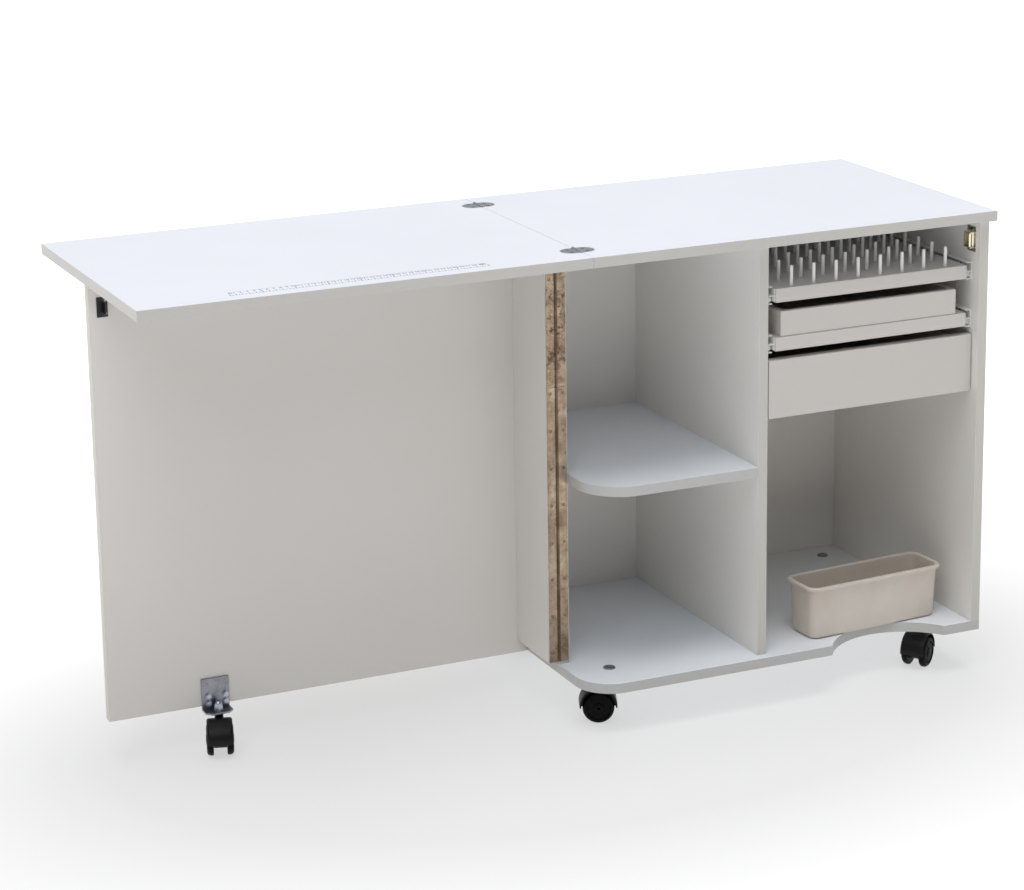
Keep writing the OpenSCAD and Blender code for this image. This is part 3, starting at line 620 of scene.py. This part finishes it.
def castor(key, pos, deg, housing_body, wheel_body):
    M = Matrix.Translation(P(pos[0], pos[1], 0)) @ Matrix.Rotation(math.radians(deg), 4, "Z")
    W = M @ Matrix.Translation((0.018, 0, 0.025))
    # wheels: domed discs with a soft shoulder, a dished face and a hub cap
    bm = bmesh.new()
    for s in (1, -1):
        A = W @ Matrix.Rotation(math.radians(-90 * s), 4, "X")
        prof = [(0.0031, 0.0104), (0.0232, 0.0104)] + [(0.0232 + 0.0018 * math.sin(math.radians(a)), 0.0122 - 0.0018 * math.cos(math.radians(a))) for a in range(15, 91, 15)]
        prof += [(0.0250, 0.0146), (0.02478, 0.0160), (0.0242, 0.0175), (0.0233, 0.0188), (0.0221, 0.0198), (0.0207, 0.0204),
                 (0.0194, 0.0206), (0.0188, 0.0203), (0.0184, 0.0194), (0.0180, 0.0190), (0.0150, 0.0196), (0.0110, 0.0201), (0.0098, 0.0202), (0.0094, 0.0199),
                 (0.0090, 0.0198), (0.0086, 0.0203), (0.0080, 0.0208), (0.0066, 0.0212), (0.0040, 0.02145), (0.0, 0.0215)]
        lathe(bm, prof, A, 72)
        # six shallow ribs in the dished face
        for q in range(6):
            R = A @ Matrix.Rotation(math.radians(60 * q), 4, "Z")
            ubox(bm, (0.0096, -0.0006, 0.0185), (0.0183, 0.0006, 0.0203), 0.0002, 1, R)
    add(key + "_castor_wheels_finished", bm, BLACK_WHEEL, wheel_body, (key + "_castor_wheels",), 30)
    refine(key + "_castor_axle", STEEL, 0.0004)
    # housing: barrel and web between the wheels, hood over them, stem boss
    bm = bmesh.new()
    B = W @ Matrix.Rotation(math.radians(-90), 4, "X")
    lathe(bm, [(0.0031, -0.0098), (0.0134, -0.0098), (0.0140, -0.0092), (0.0140, 0.0092), (0.0134, 0.0098), (0.0031, 0.0098)], B, 72)
    hw, ro, ri = 0.0195, 0.0298, 0.0272
    up = 0.0024
    hood = [(-hw, ri), (-hw, ro - 0.0023), (-hw + 0.0004, ro - 0.0015), (-hw + 0.0013, ro - 0.0008), (-hw + 0.0028, ro - 0.0002), (-hw + 0.0045, ro), (0, ro),
            (hw - 0.0045, ro), (hw - 0.0028, ro - 0.0002), (hw - 0.0013, ro - 0.0008), (hw - 0.0004, ro - 0.0015), (hw, ro - 0.0023), (hw, ri), (0, ri)]
    low = math.degrees(math.asin(up / ro))
    sweep(bm, W, hood, -low, 180 + low, 56, up)
    sweep(bm, W, [(-0.0098, 0.0002), (-0.0098, ri + 0.0006), (0.0098, ri + 0.0006), (0.0098, 0.0002)], -4.5, 184.5, 48, up)
    prof = [(0.00412, 0.0290), (0.0068, 0.0290), (0.0068, 0.0570)] + arc(0.0054, 0.0570, 0.0014, 0, 90, 5) + [(0.0048, 0.0584), (0.00412, 0.0578)]
    lathe(bm, prof, M, 48)
    add(key + "_castor_housing_finished", bm, BLACK, housing_body, (key + "_castor_housing",), 34)


for key, pos, deg in (("front_left", (63.7, 88.5), 157), ("front_right", (634, 90), 217), ("back_left", (63.7, 415), 40),
                      ("back_right", (634, 415), 200), ("door", (-527, 240), 253)):
    castor(key, pos, deg, BODY[key + "_castor_housing"], BODY[key + "_castor_wheels"])

# the open leaf shades the door below it: it sends no bounced light down
for ob in [o for o in bpy.data.objects if o.name.startswith("leaf_top")]:
    ob.visible_diffuse = False

# ------------------------------------------------------------------ camera

yaw, pitch, roll, foc, cy = 0.4204, 0.2548, -0.0149, 3019.25, 345.0
C = Vector((-1876.9, -3898.8, 1762.1))
fwd = Vector((math.sin(yaw) * math.cos(pitch), math.cos(yaw) * math.cos(pitch), -math.sin(pitch)))
right = Vector((math.cos(yaw), -math.sin(yaw), 0))
up = right.cross(fwd)
r2 = math.cos(roll) * right + math.sin(roll) * up
u2 = -math.sin(roll) * right + math.cos(roll) * up
cam = bpy.data.cameras.new("camera")
cam.sensor_width = 36
cam.sensor_fit = "HORIZONTAL"
cam.lens = foc * 36 / 1024
cam.shift_y = (cy - 445) / 1024
cam.clip_end = 200
co = bpy.data.objects.new("camera", cam)
bpy.context.scene.collection.objects.link(co)
rot = Matrix((r2, u2, -fwd)).transposed()
co.matrix_world = Matrix.Translation(P(*C)) @ rot.to_4x4()
bpy.context.scene.camera = co

# ------------------------------------------------------------------ floor and light
bm = bmesh.new()
bmesh.ops.create_circle(bm, cap_ends=True, segments=96, radius=60)
me = bpy.data.meshes.new("floor")
bm.to_mesh(me)
bm.free()
floor = bpy.data.objects.new("floor", me)
bpy.context.scene.collection.objects.link(floor)
fm = Mat("studio_floor", Roughness=0.75, Specular_IOR_Level=0.2, Emission_Color=(1.0, 1.0, 1.0, 1))
fm.color(fm.ramp(fm.noise(1.5, 2, 0.5), (0.3, (0.22, 0.22, 0.22, 1)), (0.7, (0.225, 0.225, 0.225, 1))))
# painted shadow: the floor glows, and its glow is dimmer round the table than far off, a soft shadow painted round the
# footprint
ln = fm.node("ShaderNodeVectorMath", operation="LENGTH")
fm.link(fm.scaled(0.60, 1.0, 1.0, (0, 0.10, 0)), ln.inputs[0])
fm.link(fm.rng(ln.outputs["Value"], 0.42, 1.25, 0.57, 1.08), fm.p.inputs["Emission Strength"])
me.materials.append(fm.m)
# pale wall far behind, seen by the camera only, so that low views end on white
bm = bmesh.new()
bmesh.ops.create_cone(bm, cap_ends=False, segments=128, radius1=59, radius2=59, depth=60, matrix=Matrix.Translation((0, 0, 30)))
me = bpy.data.meshes.new("backdrop")
bm.to_mesh(me)
bm.free()
wall = bpy.data.objects.new("backdrop", me)
bpy.context.scene.collection.objects.link(wall)
wm = Mat("studio_backdrop", Roughness=1.0, Specular_IOR_Level=0.0, Emission_Color=(1.0, 1.0, 1.0, 1), Emission_Strength=0.88)
wm.color(wm.ramp(wm.noise(0.3, 2, 0.5), (0.3, (0.02, 0.02, 0.02, 1)), (0.7, (0.022, 0.022, 0.022, 1))))
me.materials.append(wm.m)
for flag in ("visible_diffuse", "visible_glossy", "visible_transmission", "visible_volume_scatter", "visible_shadow"):
    setattr(wall, flag, False)

world = bpy.data.worlds.new("studio")
bpy.context.scene.world = world
world.use_nodes = True
world.node_tree.nodes["Background"].inputs[0].default_value = (1.0, 1.0, 1.0, 1)
wt = world.node_tree
wc = wt.nodes.new("ShaderNodeTexCoord")
ws = wt.nodes.new("ShaderNodeSeparateXYZ")
wr = wt.nodes.new("ShaderNodeMapRange")
wt.links.new(wc.outputs["Generated"], ws.inputs[0])
wt.links.new(ws.outputs[1], wr.inputs[0])
for a, v in enumerate((-0.05, 0.55, 0.13, 0.36)):      # a bright sweep behind the table
    wr.inputs[a + 1].default_value = v
wt.links.new(wr.outputs[0], wt.nodes["Background"].inputs[1])


def sun(name, energy, angle, elev, azim, col=(1, 1, 1)):
    """Soft distant light from elev degrees above the horizon; azim 0 comes from the front, 90 from the right."""
    li = bpy.data.lights.new(name, "SUN")
    li.energy = energy
    li.angle = math.radians(angle)
    li.color = col
    ob = bpy.data.objects.new(name, li)
    bpy.context.scene.collection.objects.link(ob)
    e, a = math.radians(elev), math.radians(azim)
    d = Vector((math.sin(a) * math.cos(e), -math.cos(a) * math.cos(e), math.sin(e)))
    ob.rotation_mode = "QUATERNION"
    ob.rotation_quaternion = d.to_track_quat("Z", "Y")
    return ob


sun("key", 2.54, 44, 86, -40, (1.0, 1.0, 1.0)).visible_glossy = False   # no glare on the tops from above
sun("front", 0.76, 40, 52, -34, (0.96, 0.985, 1.02))

sc = bpy.context.scene
sc.view_settings.view_transform = "Standard"
sc.view_settings.look = "None"
sc.view_settings.exposure = 0.0
sc.view_settings.gamma = 1.0
